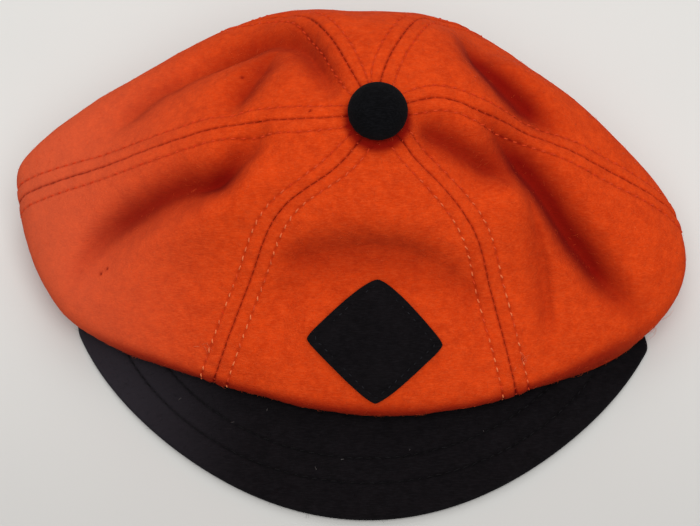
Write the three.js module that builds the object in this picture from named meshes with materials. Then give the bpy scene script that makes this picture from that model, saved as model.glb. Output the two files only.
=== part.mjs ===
// A six-panel wool felt beanie with a short crescent brim, a covered top button
// and a sewn-on diamond patch, lying on its rim as it does on a table.
// Millimetres, +Z up, +X to the wearer's left, the brim towards -Y.

import * as THREE from 'three';

// Felt and sewing
const FELT = 1.6; // one layer of the crown's felt
const SEAM_THICKNESS = 3.0; // crown felt with the pressed-open allowance under it
const SEAM_ALLOWANCE = 7.0; // width of that allowance on each side of a seam
const HEM_THICKNESS = 3.2; // crown felt turned up inside the rim
const HEM_START = 0.905; // where the turned-up hem begins, as a share of the gore
const SEAM_GAP = 0.45; // clearance between neighbouring panels
const SEAM_ROLL = 0.7; // how far a panel's edge rolls down into its seam
const LAYER_GAP = 0.3; // clearance between two layers sewn on each other

// Crown
const APEX = new THREE.Vector3(8.1, 14.1, 66.2);
const PLAN_MIDDLE = new THREE.Vector3(-0.4, -7, 0); // middle of the outline in the tables' plan
const SEAM_STEP = 60; // degrees from one seam to the next
const SECTION_STEP = 30; // degrees from one section to the next
const EYE_HOLE = 0.019; // share of the gore taken by the hole for the button's shank

// How far down the gore each column of SECTIONS lies, as a share of its length
const STATIONS = [0, 0.13, 0.34, 0.6, 0.88, 1];

// One row for each seam and each panel's middle, anticlockwise from the right seam.
// Columns: [x, y, z] at the neck of the button, the shoulder, the slope and the bulge,
// and [x, y] of the rim, whose height comes from rimHeight.
const SECTIONS = [
  { at: 'right seam', neck: [23, 20.8, 64.8], shoulder: [42, 18.5, 59.5], slope: [73, 12.8, 42.5],
    bulge: [103, 4, 17], rim: [99, 3] },
  { at: 'rear right panel', neck: [19, 25.5, 65.8], shoulder: [43, 37, 58.5], slope: [65, 37.5, 43.5],
    bulge: [83.3, 31.3, 20.5], rim: [81.3, 38.3] },
  { at: 'back right seam', neck: [9.3, 26.8, 66.4], shoulder: [16.7, 46, 63], slope: [25.3, 60.3, 48.8],
    bulge: [44, 65.5, 24], rim: [44.5, 66] },
  { at: 'back panel', neck: [5.8, 27.3, 66.8], shoulder: [5, 46, 64], slope: [3, 59.6, 52.6],
    bulge: [1, 73, 26], rim: [0, 73] },
  { at: 'back left seam', neck: [2, 26, 66.6], shoulder: [-7, 46, 62.5], slope: [-18, 60.7, 50],
    bulge: [-43, 66.8, 25], rim: [-45, 66] },
  { at: 'rear left panel', neck: [-4.5, 22, 66], shoulder: [-26, 36, 60], slope: [-57.3, 40, 43.5],
    bulge: [-97, 31.3, 21.8], rim: [-90, 36.5] },
  { at: 'left seam', neck: [-8.3, 14, 64.8], shoulder: [-36, 15.6, 58.5], slope: [-73, 13.4, 39.5],
    bulge: [-104.8, 13, 14.5], rim: [-98.8, 13] },
  { at: 'front left panel', neck: [-6.5, 7, 63.7], shoulder: [-36, -3, 53.5], slope: [-62, -12, 37],
    bulge: [-87.5, -24.8, 13], rim: [-82, -25.5] },
  { at: 'front left seam', neck: [-1.5, 1.3, 62.6], shoulder: [-20, -9.5, 52], slope: [-30.5, -25.3, 33],
    bulge: [-41.3, -46, 11], rim: [-41, -44] },
  { at: 'front panel', neck: [9, -1.2, 62.3], shoulder: [8, -17, 54], slope: [7, -27, 39],
    bulge: [6, -57, 12], rim: [6, -55] },
  { at: 'front right seam', neck: [20, 1.8, 62.4], shoulder: [35, -12.5, 50], slope: [42.3, -27.2, 32],
    bulge: [50.3, -50.2, 11], rim: [50, -48] },
  { at: 'front right panel', neck: [24, 11, 63.8], shoulder: [46, 0, 53.5], slope: [70, -9, 38],
    bulge: [97, -24.5, 14.3], rim: [87, -32] },
];

// Dents and creases of the slack felt, seen in plan. Columns: both ends [x, y], how far
// the line bows to its left, the half width on its left and on its right, and how deep
// it goes. A negative depth is a ridge.
const FOLDS = [
  { at: 'right valley', from: [41, 20], to: [90, -29], bow: -3, left: 8, right: 6.5, depth: 4 },
  { at: 'right ridge', from: [40, 8], to: [75, -27], bow: -2, left: 6, right: 6, depth: -1.2 },
  { at: 'left valley', from: [-34, 2], to: [-90, -20], bow: -2, left: 6, right: 9, depth: 4.5 },
  { at: 'left valley head', from: [-24, 17], to: [-44, -9], bow: 0, left: 6, right: 7, depth: 2.5 },
  { at: 'left crest', from: [-20, -4], to: [-82, -20], bow: 0, left: 6, right: 6, depth: -1.5 },
  { at: 'rear right', from: [34, 59], to: [68, 12], bow: -5, left: 7, right: 6, depth: 3.8 },
  { at: 'rear left', from: [-6, 48], to: [-64, 36], bow: -4, left: 8, right: 6, depth: 3 },
  { at: 'rear left branch', from: [-20, 46], to: [-42, 16], bow: 0, left: 6, right: 6, depth: 2.5 },
  { at: 'beside back seam', from: [-4, 17], to: [-20, 53], bow: 0, left: 7, right: 6, depth: 2.5 },
  { at: 'below button', from: [11, 8], to: [49, -4], bow: 0, left: 6, right: 7, depth: 3 },
  { at: 'above patch', from: [-27, -30], to: [40, -31], bow: 6, left: 6, right: 8, depth: 3 },
  { at: 'left of patch', from: [-20, -22], to: [-23, -44], bow: 0, left: 5, right: 5, depth: 1.5 },
  { at: 'right of patch', from: [30, -22], to: [45, -40], bow: 0, left: 5, right: 5, depth: 1.5 },
];
const FOLD_FADE = 0.3; // share of a fold's length over which each end fades out

// Brim
const BRIM_THICKNESS = 2.9;
const BRIM_TIP_THICKNESS = 2.3;
const BRIM_LIFT = 2.3; // rise of the brim's sewn edge above the table at its middle
const BRIM_CENTRE = new THREE.Vector3(5.3, 10, 0);
const BRIM_RADIUS = 96.3;
const BRIM_POINT = 1.3; // how far its outer edge swells past that radius at the front
const BRIM_WAVE = 4.6; // swells of the outer edge in a full turn
const BRIM_TURNS = { from: 203, to: 338 }; // stretch of the rim that it is sewn to, degrees
const BRIM_ARC = { from: 198, to: 338.6 }; // the same stretch on its outer edge, degrees
const BRIM_TIP = 0.03; // share of its length over which each tip closes in on the rim
const RIM_DROP = 13; // degrees past a tip in which the crown's rim comes down to the table

// Button
const BUTTON_RADIUS = 8.8;
const BUTTON_HEIGHT = 8.6;
const BUTTON_EDGE = 2.6; // height of its widest place above its flat back
const SHANK_RADIUS = 1.1;
const BUTTON_GAP = 0.5; // clearance under its flat back, where the felt is not quite flat
const SHANK_LENGTH = 4.2;
const BUTTON_LEAN = 13; // degrees that it leans forward with the top of the crown

// Patch
const PATCH_HALF_WIDTH = 21;
const PATCH_HALF_HEIGHT = 23;
const PATCH_THICKNESS = 1.4;
const PATCH_GAP = 0.45;
const PATCH_TURN = 271; // where its middle lies round the crown, degrees
const PATCH_DOWN = 0.715; // where its middle lies down the gore

// Fineness of the meshes
const GORE_ROWS = 23;
const GORE_MIDDLE_COLUMNS = 7;
const BRIM_STEPS = 40;
const PATCH_CELLS = 7;
const BUTTON_SIDES = 24;

// Shares of the gore at which the rows of the turned-up hem lie
const HEM_ROWS = [HEM_START + 0.013, 0.945, 0.975, 1];

// Columns of each panel beside a seam: distance from the edge, its limit as a share of
// the panel's width where the panel is narrow, and how far the felt is rolled down there
const EDGE_COLUMNS = [
  { distance: 0, limit: 0, roll: SEAM_ROLL },
  { distance: 1.3, limit: 0.1, roll: 0.1 },
  { distance: SEAM_ALLOWANCE - 0.4, limit: 0.27, roll: 0 },
  { distance: SEAM_ALLOWANCE + 1.1, limit: 0.33, roll: 0 },
];

const UP = new THREE.Vector3(0, 0, 1);
const radians = THREE.MathUtils.degToRad;
const BRIM_FRONT = radians(270); // direction of the brim's middle
const smooth = (x) => THREE.MathUtils.smoothstep(x, 0, 1);

// Share of the brim's length at a place round the rim, below 0 or above 1 past its tips
function brimShare(turn) {
  return (turn - BRIM_TURNS.from) / (BRIM_TURNS.to - BRIM_TURNS.from);
}

// A swell that is 1 along most of the brim and falls to 0 at both tips
function brimSwell(share) {
  return 1 - (2 * share - 1) ** 4;
}

function brimThickness(share) {
  return THREE.MathUtils.lerp(BRIM_TIP_THICKNESS, BRIM_THICKNESS, brimSwell(share));
}

// The rim stands on the brim in front and on the table elsewhere
function rimHeight(turn) {
  const share = brimShare(turn);
  if (share >= 0 && share <= 1) {
    return BRIM_LIFT * brimSwell(share) + brimThickness(share) + LAYER_GAP;
  }
  const past = Math.max(BRIM_TURNS.from - turn, turn - BRIM_TURNS.to);
  return (BRIM_TIP_THICKNESS + LAYER_GAP) * smooth(1 - past / RIM_DROP);
}

// Point between b and c on the smooth curve through a, b, c and d, evenly spaced
function throughEven(a, b, c, d, share) {
  const point = new THREE.Vector3();
  for (const axis of ['x', 'y', 'z']) {
    const start = (c[axis] - a[axis]) / 2;
    const end = (d[axis] - b[axis]) / 2;
    point[axis] = hermite(b[axis], c[axis], start, end, share);
  }
  return point;
}

function hermite(from, to, startSlope, endSlope, s) {
  const s2 = s * s;
  const s3 = s2 * s;
  return (2 * s3 - 3 * s2 + 1) * from + (s3 - 2 * s2 + s) * startSlope
    + (3 * s2 - 2 * s3) * to + (s3 - s2) * endSlope;
}

// The rings of the crown at one place round it, from the apex to the rim
function ringsAt(turn) {
  const count = SECTIONS.length;
  const place = turn / SECTION_STEP;
  const index = Math.floor(place);
  const rows = [-1, 0, 1, 2].map((step) => SECTIONS[(index + step + count) % count]);
  const rings = ['neck', 'shoulder', 'slope', 'bulge', 'rim'].map((column) => {
    const points = rows.map((row) => new THREE.Vector3(...row[column], ...(column === 'rim' ? [0] : [])));
    return throughEven(...points, place - index);
  });
  rings[4].z = rimHeight(turn);
  return [APEX, ...rings];
}

// Slopes of the curve through the rings, weighted by the stations on both sides
function ringSlopes(rings) {
  const last = rings.length - 1;
  const chord = (i) => rings[i + 1].clone().sub(rings[i]).divideScalar(STATIONS[i + 1] - STATIONS[i]);
  const slopes = rings.map((_, i) => {
    if (i === 0 || i === last) return null;
    const before = STATIONS[i] - STATIONS[i - 1];
    const after = STATIONS[i + 1] - STATIONS[i];
    return chord(i - 1).multiplyScalar(after).addScaledVector(chord(i), before).divideScalar(before + after);
  });
  slopes[0] = chord(0).multiplyScalar(1.5).addScaledVector(slopes[1], -0.5);
  slopes[last] = chord(last - 1).multiplyScalar(1.5).addScaledVector(slopes[last - 1], -0.5);
  return slopes;
}

// Outer face of the crown before it is dented: turn in degrees round it, down from 0 at
// the apex to 1 at the rim
function crownLoft(turn, down) {
  const rings = ringsAt(((turn % 360) + 360) % 360);
  const slopes = ringSlopes(rings);
  let i = STATIONS.length - 2;
  while (i > 0 && down < STATIONS[i]) i -= 1;
  const span = STATIONS[i + 1] - STATIONS[i];
  const share = (down - STATIONS[i]) / span;
  const point = new THREE.Vector3();
  for (const axis of ['x', 'y', 'z']) {
    point[axis] = hermite(rings[i][axis], rings[i + 1][axis], slopes[i][axis] * span,
      slopes[i + 1][axis] * span, share);
  }
  return point;
}

// Depth of all folds at a place in plan: each is a groove with a bell-shaped section
function foldDepth(x, y) {
  let total = 0;
  for (const fold of FOLDS) {
    const alongX = fold.to[0] - fold.from[0];
    const alongY = fold.to[1] - fold.from[1];
    const length = Math.hypot(alongX, alongY);
    const dx = x - fold.from[0];
    const dy = y - fold.from[1];
    const share = (dx * alongX + dy * alongY) / length ** 2;
    if (share <= 0 || share >= 1) continue;
    const aside = (dy * alongX - dx * alongY) / length - 4 * fold.bow * share * (1 - share);
    const width = aside > 0 ? fold.left : fold.right;
    const fade = smooth(Math.min(share, 1 - share) / FOLD_FADE);
    total += fold.depth * fade * Math.exp(-((aside / width) ** 2));
  }
  return total;
}

// Unit normal of a surface given as a function of turn and down
function normalOf(surface, turn, down) {
  const turnStep = 0.4;
  const downStep = 0.002;
  const above = surface(turn, Math.max(down - downStep, 0.004));
  const below = surface(turn, Math.min(down + downStep, 1));
  const before = surface(turn - turnStep, down);
  const after = surface(turn + turnStep, down);
  return below.sub(above).cross(after.sub(before)).normalize();
}

// Outer face of the crown with its folds, which sink half way between down and inwards
function crownFace(turn, down) {
  const point = crownLoft(turn, down);
  const inPlan = foldDepth(point.x, point.y);
  const depth = inPlan * smooth((down - 0.05) / 0.08) * Math.min((1 - down) / 0.12, 1);
  const sink = normalOf(crownLoft, turn, down).add(UP).normalize();
  return point.addScaledVector(sink, -depth);
}

// Point of the felt at a depth below the crown's outer face. Towards the rim the felt is
// measured level, so that the hem stands square on what it rests on.
function crownPoint(turn, down, depth) {
  const normal = normalOf(crownFace, turn, down);
  normal.z *= 1 - smooth((down - 0.9) / 0.1);
  return crownFace(turn, down).addScaledVector(normal.normalize(), -depth).sub(PLAN_MIDDLE);
}

// Closed body between two grids of points, rows from the top down, columns anticlockwise
function bodyBetween(outer, inner) {
  const rows = outer.length - 1;
  const columns = outer[0].length - 1;
  const across = columns + 1;
  const innerStart = across * (rows + 1);
  const points = [...outer.flat(), ...inner.flat()];
  const indices = [];
  for (let r = 0; r < rows; r += 1) {
    for (let c = 0; c < columns; c += 1) {
      const a = r * across + c;
      const [b, d, e] = [a + across, a + 1, a + across + 1];
      indices.push(a, b, e, a, e, d);
      indices.push(innerStart + a, innerStart + e, innerStart + b);
      indices.push(innerStart + a, innerStart + d, innerStart + e);
    }
  }
  const edge = [];
  for (let r = 0; r < rows; r += 1) edge.push(r * across);
  for (let c = 0; c < columns; c += 1) edge.push(rows * across + c);
  for (let r = rows; r > 0; r -= 1) edge.push(r * across + columns);
  for (let c = columns; c > 0; c -= 1) edge.push(c);
  edge.forEach((p, i) => {
    const q = edge[(i + 1) % edge.length];
    indices.push(q, p, innerStart + p, q, innerStart + p, innerStart + q);
  });
  const geometry = new THREE.BufferGeometry().setFromPoints(points);
  geometry.setIndex(indices);
  geometry.computeVertexNormals();
  return geometry;
}

// Columns of a panel at one row: where each lies round the crown, its roll at the seam,
// and whether the seam allowance lies under it
function goreColumns(firstTurn, down) {
  const middle = firstTurn + SEAM_STEP / 2;
  let width = 0;
  const probes = 8;
  for (let i = 0; i < probes; i += 1) {
    const from = crownLoft(firstTurn + (i * SEAM_STEP) / probes, down);
    width += from.distanceTo(crownLoft(firstTurn + ((i + 1) * SEAM_STEP) / probes, down));
  }
  const gap = SEAM_GAP / 2 / width;
  const half = EDGE_COLUMNS.map((column, i) => ({
    share: Math.min(column.distance / width, column.limit) + gap,
    roll: column.roll,
    allowance: i < EDGE_COLUMNS.length - 1,
  }));
  const last = half[half.length - 1].share;
  const between = [];
  for (let i = 1; i < GORE_MIDDLE_COLUMNS; i += 1) {
    const share = last + ((1 - 2 * last) * i) / GORE_MIDDLE_COLUMNS;
    between.push({ share, roll: 0, allowance: false });
  }
  const mirrored = half.map((column) => ({ ...column, share: 1 - column.share })).reverse();
  return [...half, ...between, ...mirrored].map((column) => ({
    ...column,
    turn: middle + (column.share - 0.5) * SEAM_STEP,
  }));
}

// One felt panel, from the hole at the apex to the turned-up hem
function gore(firstTurn) {
  const rows = [];
  for (let i = 0; i <= GORE_ROWS; i += 1) {
    rows.push(EYE_HOLE + ((HEM_START - EYE_HOLE) * i) / GORE_ROWS);
  }
  rows.push(...HEM_ROWS);
  const outer = [];
  const inner = [];
  for (const down of rows) {
    const columns = goreColumns(firstTurn, down);
    const rollFade = down > HEM_START ? (1 - down) / (1 - HEM_START) : 1;
    outer.push(columns.map(({ turn, roll }) => crownPoint(turn, down, roll * rollFade)));
    inner.push(columns.map(({ turn, allowance }) => {
      if (down > HEM_START) return crownPoint(turn, down, HEM_THICKNESS);
      return crownPoint(turn, down, allowance ? SEAM_THICKNESS : FELT);
    }));
  }
  return bodyBetween(outer, inner);
}

// The brim: its section runs from the hem's inner face out to a circular outer edge
function brim() {
  const sections = [];
  for (let i = 0; i <= BRIM_STEPS; i += 1) {
    const share = i / BRIM_STEPS;
    const turn = THREE.MathUtils.lerp(BRIM_TURNS.from, BRIM_TURNS.to, share);
    const arc = radians(THREE.MathUtils.lerp(BRIM_ARC.from, BRIM_ARC.to, share));
    const sewn = crownPoint(turn, 1, HEM_THICKNESS);
    const face = crownPoint(turn, 1, 1);
    const radius = BRIM_RADIUS + BRIM_POINT * Math.cos(BRIM_WAVE * (arc - BRIM_FRONT));
    const edge = new THREE.Vector3(Math.cos(arc), Math.sin(arc), 0).multiplyScalar(radius);
    edge.add(BRIM_CENTRE).sub(PLAN_MIDDLE);
    edge.lerp(face, 1 - smooth(Math.min(share, 1 - share) / BRIM_TIP));
    const thickness = brimThickness(share);
    const lift = BRIM_LIFT * brimSwell(share);
    const at = (out, height) => {
      const point = sewn.clone().lerp(edge, out);
      point.z = lift * (1 - out) ** 1.6 + thickness * height;
      return point;
    };
    sections.push([
      at(0, 0), at(0, 1), at(0.25, 1), at(0.5, 1), at(0.75, 1), at(0.96, 1), at(0.99, 0.8),
      at(1, 0.5), at(0.99, 0.2), at(0.96, 0), at(0.75, 0), at(0.5, 0), at(0.25, 0),
    ]);
  }
  return sweptBody(sections);
}

// Closed body through a run of like sections, each a loop of points, with flat ends
function sweptBody(sections) {
  const around = sections[0].length;
  const indices = [];
  for (let i = 0; i < sections.length - 1; i += 1) {
    for (let j = 0; j < around; j += 1) {
      const a = i * around + j;
      const b = i * around + ((j + 1) % around);
      indices.push(a, b, b + around, a, b + around, a + around);
    }
  }
  const lastStart = (sections.length - 1) * around;
  for (let j = 1; j < around - 1; j += 1) {
    indices.push(0, j + 1, j);
    indices.push(lastStart, lastStart + j, lastStart + j + 1);
  }
  const geometry = new THREE.BufferGeometry().setFromPoints(sections.flat());
  geometry.setIndex(indices);
  geometry.computeVertexNormals();
  return geometry;
}

// The covered button: a domed cap on a flat back, with the shank sewn through the crown
function button() {
  const profile = [
    new THREE.Vector2(0, -SHANK_LENGTH),
    new THREE.Vector2(SHANK_RADIUS, -SHANK_LENGTH),
    new THREE.Vector2(SHANK_RADIUS, 0),
    new THREE.Vector2(BUTTON_RADIUS - 1.2, 0),
  ];
  const steps = 7;
  const dome = BUTTON_HEIGHT - BUTTON_EDGE;
  for (let i = 0; i <= steps; i += 1) {
    const angle = radians((90 * i) / steps);
    const height = BUTTON_EDGE + dome * Math.sin(angle);
    profile.push(new THREE.Vector2(BUTTON_RADIUS * Math.cos(angle), height));
  }
  profile[profile.length - 1].x = 0;
  return new THREE.LatheGeometry(profile, BUTTON_SIDES).rotateX(Math.PI / 2);
}

// The patch: a diamond that follows the front panel
function patch() {
  const turnStep = 2;
  const downStep = 0.03;
  const downRate = crownFace(PATCH_TURN, PATCH_DOWN + downStep)
    .distanceTo(crownFace(PATCH_TURN, PATCH_DOWN - downStep)) / (2 * downStep);
  const onPanel = (across, up, height) => {
    const down = PATCH_DOWN - up / downRate;
    const turnRate = crownLoft(PATCH_TURN + turnStep, down)
      .distanceTo(crownLoft(PATCH_TURN - turnStep, down)) / (2 * turnStep);
    return crownPoint(PATCH_TURN + across / turnRate, down, -height);
  };
  const grid = (height) => Array.from({ length: PATCH_CELLS + 1 }, (_, i) => {
    const left = (2 * i) / PATCH_CELLS - 1;
    return Array.from({ length: PATCH_CELLS + 1 }, (__, j) => {
      const right = (2 * j) / PATCH_CELLS - 1;
      const across = (PATCH_HALF_WIDTH * (right - left)) / 2;
      const up = (-PATCH_HALF_HEIGHT * (right + left)) / 2;
      return onPanel(across, up, height);
    });
  });
  return bodyBetween(grid(PATCH_GAP + PATCH_THICKNESS), grid(PATCH_GAP));
}

const orangeFelt = { color: 0xd4421c, roughness: 0.95, metalness: 0 };
const blackFelt = { color: 0x17161a, roughness: 0.95, metalness: 0 };

const beanie = new THREE.Group();

function add(name, geometry, finish) {
  const mesh = new THREE.Mesh(geometry, new THREE.MeshStandardMaterial(finish));
  mesh.name = name;
  beanie.add(mesh);
  return mesh;
}

const PANEL_NAMES = ['rear_right_panel', 'back_panel', 'rear_left_panel',
  'front_left_panel', 'front_panel', 'front_right_panel'];
PANEL_NAMES.forEach((name, i) => add(name, gore(i * SEAM_STEP), orangeFelt));

add('brim', brim(), blackFelt);
add('patch', patch(), blackFelt);

const topButton = add('top_button', button(), blackFelt);
const lean = radians(BUTTON_LEAN);
const seat = APEX.clone().sub(PLAN_MIDDLE);
topButton.rotation.x = lean;
topButton.position.set(seat.x, seat.y - BUTTON_GAP * Math.sin(lean), seat.z + BUTTON_GAP);

export default beanie;
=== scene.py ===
import bpy
import numpy as np
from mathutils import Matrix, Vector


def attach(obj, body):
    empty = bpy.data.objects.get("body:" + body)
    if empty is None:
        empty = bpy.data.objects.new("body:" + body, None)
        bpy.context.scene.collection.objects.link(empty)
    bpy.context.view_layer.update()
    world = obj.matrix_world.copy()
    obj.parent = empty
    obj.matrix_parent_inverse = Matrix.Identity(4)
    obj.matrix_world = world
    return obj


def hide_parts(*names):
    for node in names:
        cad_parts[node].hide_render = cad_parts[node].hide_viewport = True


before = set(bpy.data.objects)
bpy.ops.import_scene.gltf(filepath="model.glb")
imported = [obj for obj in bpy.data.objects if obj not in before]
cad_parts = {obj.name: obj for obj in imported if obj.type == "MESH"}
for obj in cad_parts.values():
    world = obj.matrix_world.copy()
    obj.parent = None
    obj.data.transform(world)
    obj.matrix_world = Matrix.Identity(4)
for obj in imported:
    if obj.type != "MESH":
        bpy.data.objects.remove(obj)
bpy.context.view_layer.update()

# The crown is a slack skullcap of wool felt: six gores cut alike and sewn into a dome.
# Lying on a table it spreads sideways, sinks in front over the brim and keeps the dents
# that packing has left. Its outer face is one surface, which all six gores follow.

MILLIMETRE = 0.001
PLAN_MIDDLE = np.array([-0.4, -7.0, 0.0])
APEX = np.array([8.1, 14.1, 66.2])
UP = np.array([0.0, 0.0, 1.0])
SECTION_STEP = 30.0
STATIONS = np.array([0, 0.13, 0.34, 0.6, 0.88, 1])

# Twelve sections in millimetres, anticlockwise: each seam and the middle of each panel.
# Columns: the button's neck, the shoulder, the slope, the bulge, and the rim in plan.
SECTIONS = (
    ("right seam", (23, 20.8, 64.8), (42, 18.5, 59.5), (73, 12.8, 42.5), (103, 4, 17), (99, 3)),
    ("rear right", (19, 25.5, 65.8), (43, 37, 58.5), (65, 37.5, 43.5), (83.3, 31.3, 20.5), (81.3, 38.3)),
    ("back right seam", (9.3, 26.8, 66.4), (16.7, 46, 63), (25.3, 60.3, 48.8), (44, 65.5, 24), (44.5, 66)),
    ("back", (5.8, 27.3, 66.8), (5, 46, 64), (3, 59.6, 52.6), (1, 73, 26), (0, 73)),
    ("back left seam", (2, 26, 66.6), (-7, 46, 62.5), (-18, 60.7, 50), (-43, 66.8, 25), (-45, 66)),
    ("rear left", (-4.5, 22, 66), (-26, 36, 60), (-57.3, 40, 43.5), (-97, 31.3, 21.8), (-90, 36.5)),
    ("left seam", (-8.3, 14, 64.8), (-36, 15.6, 58.5), (-73, 13.4, 39.5), (-104.8, 13, 14.5), (-98.8, 13)),
    ("front left", (-6.5, 7, 63.7), (-36, -3, 53.5), (-62, -12, 37), (-87.5, -24.8, 13), (-82, -25.5)),
    ("front left seam", (-1.5, 1.3, 62.6), (-20, -9.5, 52), (-30.5, -25.3, 33), (-41.3, -46, 11), (-41, -44)),
    ("front", (9, -1.2, 62.3), (8, -17, 54), (7, -27, 39), (6, -57, 12), (6, -55)),
    ("front right seam", (20, 1.8, 62.4), (35, -12.5, 50), (42.3, -27.2, 32), (50.3, -50.2, 11), (50, -48)),
    ("front right", (24, 11, 63.8), (46, 0, 53.5), (70, -9, 38), (97, -24.5, 14.3), (87, -32)),
)
SECTION_POINTS = np.array([[*row[1:5], (*row[5], 0)] for row in SECTIONS], float)

# Dents and creases, in plan. Columns: both ends, how far the line bows to its left, the
# half width on its left and on its right, and the depth, which is negative on a ridge.
FOLDS = (
    ("right valley", (41, 20), (90, -29), -3, 8, 6.5, 4),
    ("right ridge", (40, 8), (75, -27), -2, 6, 6, -1.2),
    ("left valley", (-34, 2), (-90, -20), -2, 6, 9, 4.5),
    ("left valley head", (-24, 17), (-44, -9), 0, 6, 7, 2.5),
    ("left crest", (-20, -4), (-82, -20), 0, 6, 6, -1.5),
    ("rear right", (34, 59), (68, 12), -5, 7, 6, 3.8),
    ("rear left", (-6, 48), (-64, 36), -4, 8, 6, 3),
    ("rear left branch", (-20, 46), (-42, 16), 0, 6, 6, 2.5),
    ("beside back seam", (-4, 17), (-20, 53), 0, 7, 6, 2.5),
    ("below button", (11, 8), (49, -4), 0, 6, 7, 3),
    ("above patch", (-27, -30), (40, -31), 6, 6, 8, 3),
    ("left of patch", (-20, -22), (-23, -44), 0, 5, 5, 1.5),
    ("right of patch", (30, -22), (45, -40), 0, 5, 5, 1.5),
)
FOLD_FADE = 0.3

# Narrow creases and small crests inside those dents. Columns: the route in plan, the half
# width on its left and on its right, the depth, and how strong the painted shade along it is.
CREASES = (
    ("rear right", ((31, 60), (36.5, 49), (41.5, 40.5), (47, 34), (52.5, 29), (60, 23), (70, 16.5)),
     3.8, 5, 3.6, 1.15),
    ("right valley", ((34, 21), (40, 17), (48, 10.5), (54.5, 5), (59.5, 0), (65, -7), (70, -12),
      (78.5, -19.5), (88, -27), (93, -32)), 4.2, 4.6, 4.8, 1.15),
    ("below button", ((10, 13.5), (18, 12.5), (26.5, 10), (33, 7.2), (39, 4.6), (46, 1), (52, -3)),
     3.8, 3.8, 4, 0.85),
    ("above patch", ((-27, -25), (-20, -21.5), (-12, -20.5), (-3, -20.5), (8, -20.5), (18, -21.5),
      (29, -23.5), (40, -27)), 3.2, 4.6, 3.8, 0.4),
    ("left valley", ((-24, 18), (-28.5, 11), (-34, 6), (-38.5, 1.8), (-44, 0.6), (-50, 1.2), (-57, 0.2),
      (-64, -2), (-70, -4), (-77, -8), (-84, -16), (-89, -26)), 3.8, 3.8, 4, 0.9),
    ("left valley head", ((-25, 19), (-27.5, 9.5), (-31, 5.5), (-36.5, 1.6), (-42, 0), (-50, 0)),
     2.6, 4, 1.6, 0.2),
    ("left crest", ((-24, 10), (-27.5, 3), (-31.5, -3.5), (-39, -8), (-50, -10.5), (-64, -11), (-76, -14)),
     6, 3, -1, 0),
    ("rear left line", ((-45, 46), (-57, 38.5), (-64.5, 32.5), (-76, 22)), 3.8, 3.6, 2.4, 0.4),
    ("rear left branch", ((-21, 49), (-25, 42.5), (-28, 36), (-31, 31), (-34, 25), (-37, 18)),
     3.6, 3.6, 2.4, 0.65),
    ("rear left arc", ((1, 14), (-4, 24), (-8, 32), (-12, 41), (-16.5, 48), (-24.5, 51.5), (-32, 50),
      (-41, 46.8), (-50, 43), (-58, 37)), 4.2, 4, 4, 0.65),
    ("right crease", ((52, 3), (55, -8), (58, -17), (59.5, -26), (60.5, -34), (58.5, -44)),
     1.3, 4, 2, 0.35),
    ("left of patch", ((-12, -16), (-16, -21), (-18, -27), (-20, -36)), 3, 3, 1.2, 0.1),
    ("right of patch", ((27, -23), (33, -26.5), (41, -31)), 2.5, 2.5, 1.2, 0.2),
)
CREASE_FADE = 0.32
CREASE_STEPS = 60
CREASE_DARK_SPREAD = 1.33

# Shares of the way down, with spans, where dents start and end and normals turn level
DENT_START = (0.05, 0.08)
DENT_END = 0.12
LEVEL_NORMALS = (0.9, 0.1)

# The brim's thickness and lift set how high the rim stands over it
LAYER_GAP = 0.3
BRIM_THICKNESS = 2.9
BRIM_TIP_THICKNESS = 2.3
BRIM_LIFT = 2.3
BRIM_START = 203.0
BRIM_SPAN = 135.0
RIM_DROP = 13.0


def smooth(x):
    """0 below 0, 1 above 1, and 3x^2 - 2x^3 between."""
    x = np.clip(x, 0, 1)
    return x * x * (3 - 2 * x)


def ramp(x, start, span):
    """0 up to start, 1 from a span later on, and smooth between."""
    return smooth((x - start) / span)


def unit(vectors):
    """Each vector divided by its length."""
    return vectors / np.maximum(np.linalg.norm(vectors, axis=-1, keepdims=True), 1e-12)


def bell(x, width):
    """1 at 0, falling on both sides as e to the power of minus the square of x over width."""
    return np.exp(-((x / width) ** 2))


def hermite(start, end, start_slope, end_slope, s):
    """The cubic that leaves start and reaches end with the given slopes, s from 0 to 1."""
    return ((2 * s**3 - 3 * s**2 + 1) * start + (s**3 - 2 * s**2 + s) * start_slope
            + (3 * s**2 - 2 * s**3) * end + (s**3 - s**2) * end_slope)


def brim_swell(share):
    """1 along most of the brim, falling with the fourth power to 0 at both tips."""
    return 1 - (2 * share - 1) ** 4


def brim_thickness(share):
    """The tip's thickness, plus the swell's share of the rest."""
    return BRIM_TIP_THICKNESS + (BRIM_THICKNESS - BRIM_TIP_THICKNESS) * brim_swell(share)


def rim_height(turn):
    """The brim's top and the layer gap along the brim; past its tips a smooth fall to 0."""
    share = np.clip((turn - BRIM_START) / BRIM_SPAN, 0, 1)
    past = np.maximum(np.maximum(BRIM_START - turn, turn - BRIM_START - BRIM_SPAN), 0)
    on_brim = BRIM_LIFT * brim_swell(share) + brim_thickness(share) + LAYER_GAP
    return on_brim * smooth(1 - past / RIM_DROP)


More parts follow.
